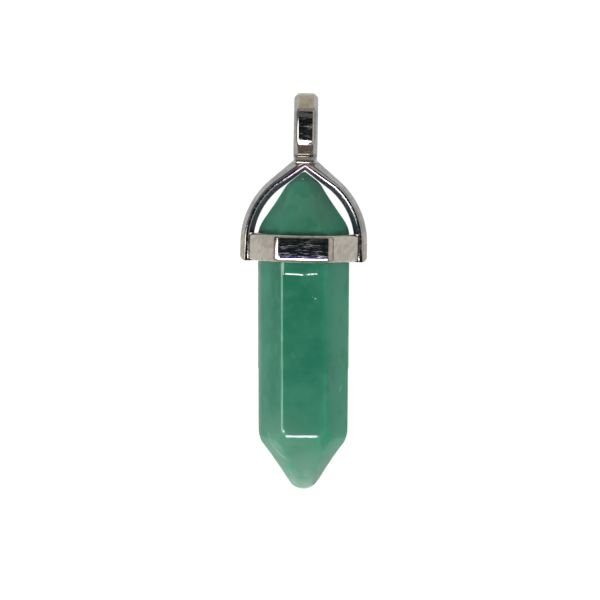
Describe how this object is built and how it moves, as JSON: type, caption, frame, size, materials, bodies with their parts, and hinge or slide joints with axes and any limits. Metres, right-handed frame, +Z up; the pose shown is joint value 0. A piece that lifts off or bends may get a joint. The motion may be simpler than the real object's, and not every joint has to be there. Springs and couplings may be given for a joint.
{
  "type": "crystal point pendant",
  "caption": "Six-sided stone point held by a hexagonal collar and a pointed arch, cast in one with a slotted loop for a cord or chain.",
  "frame": {"origin": "middle of the part's box in X and Y, on the surface it lies on", "axes": "+Z up from the surface towards the front of the pendant, +Y along its length towards the loop, +X to the right seen from the front"},
  "size_m": [0.0124, 0.0386, 0.0096],
  "materials": {
    "plated_metal": "polished grey plating",
    "green_stone": "polished, cloudy and slightly translucent"
  },
  "bodies": {
    "root": {"setting": "plated_metal", "stone": "green_stone"}
  },
  "joints": []
}
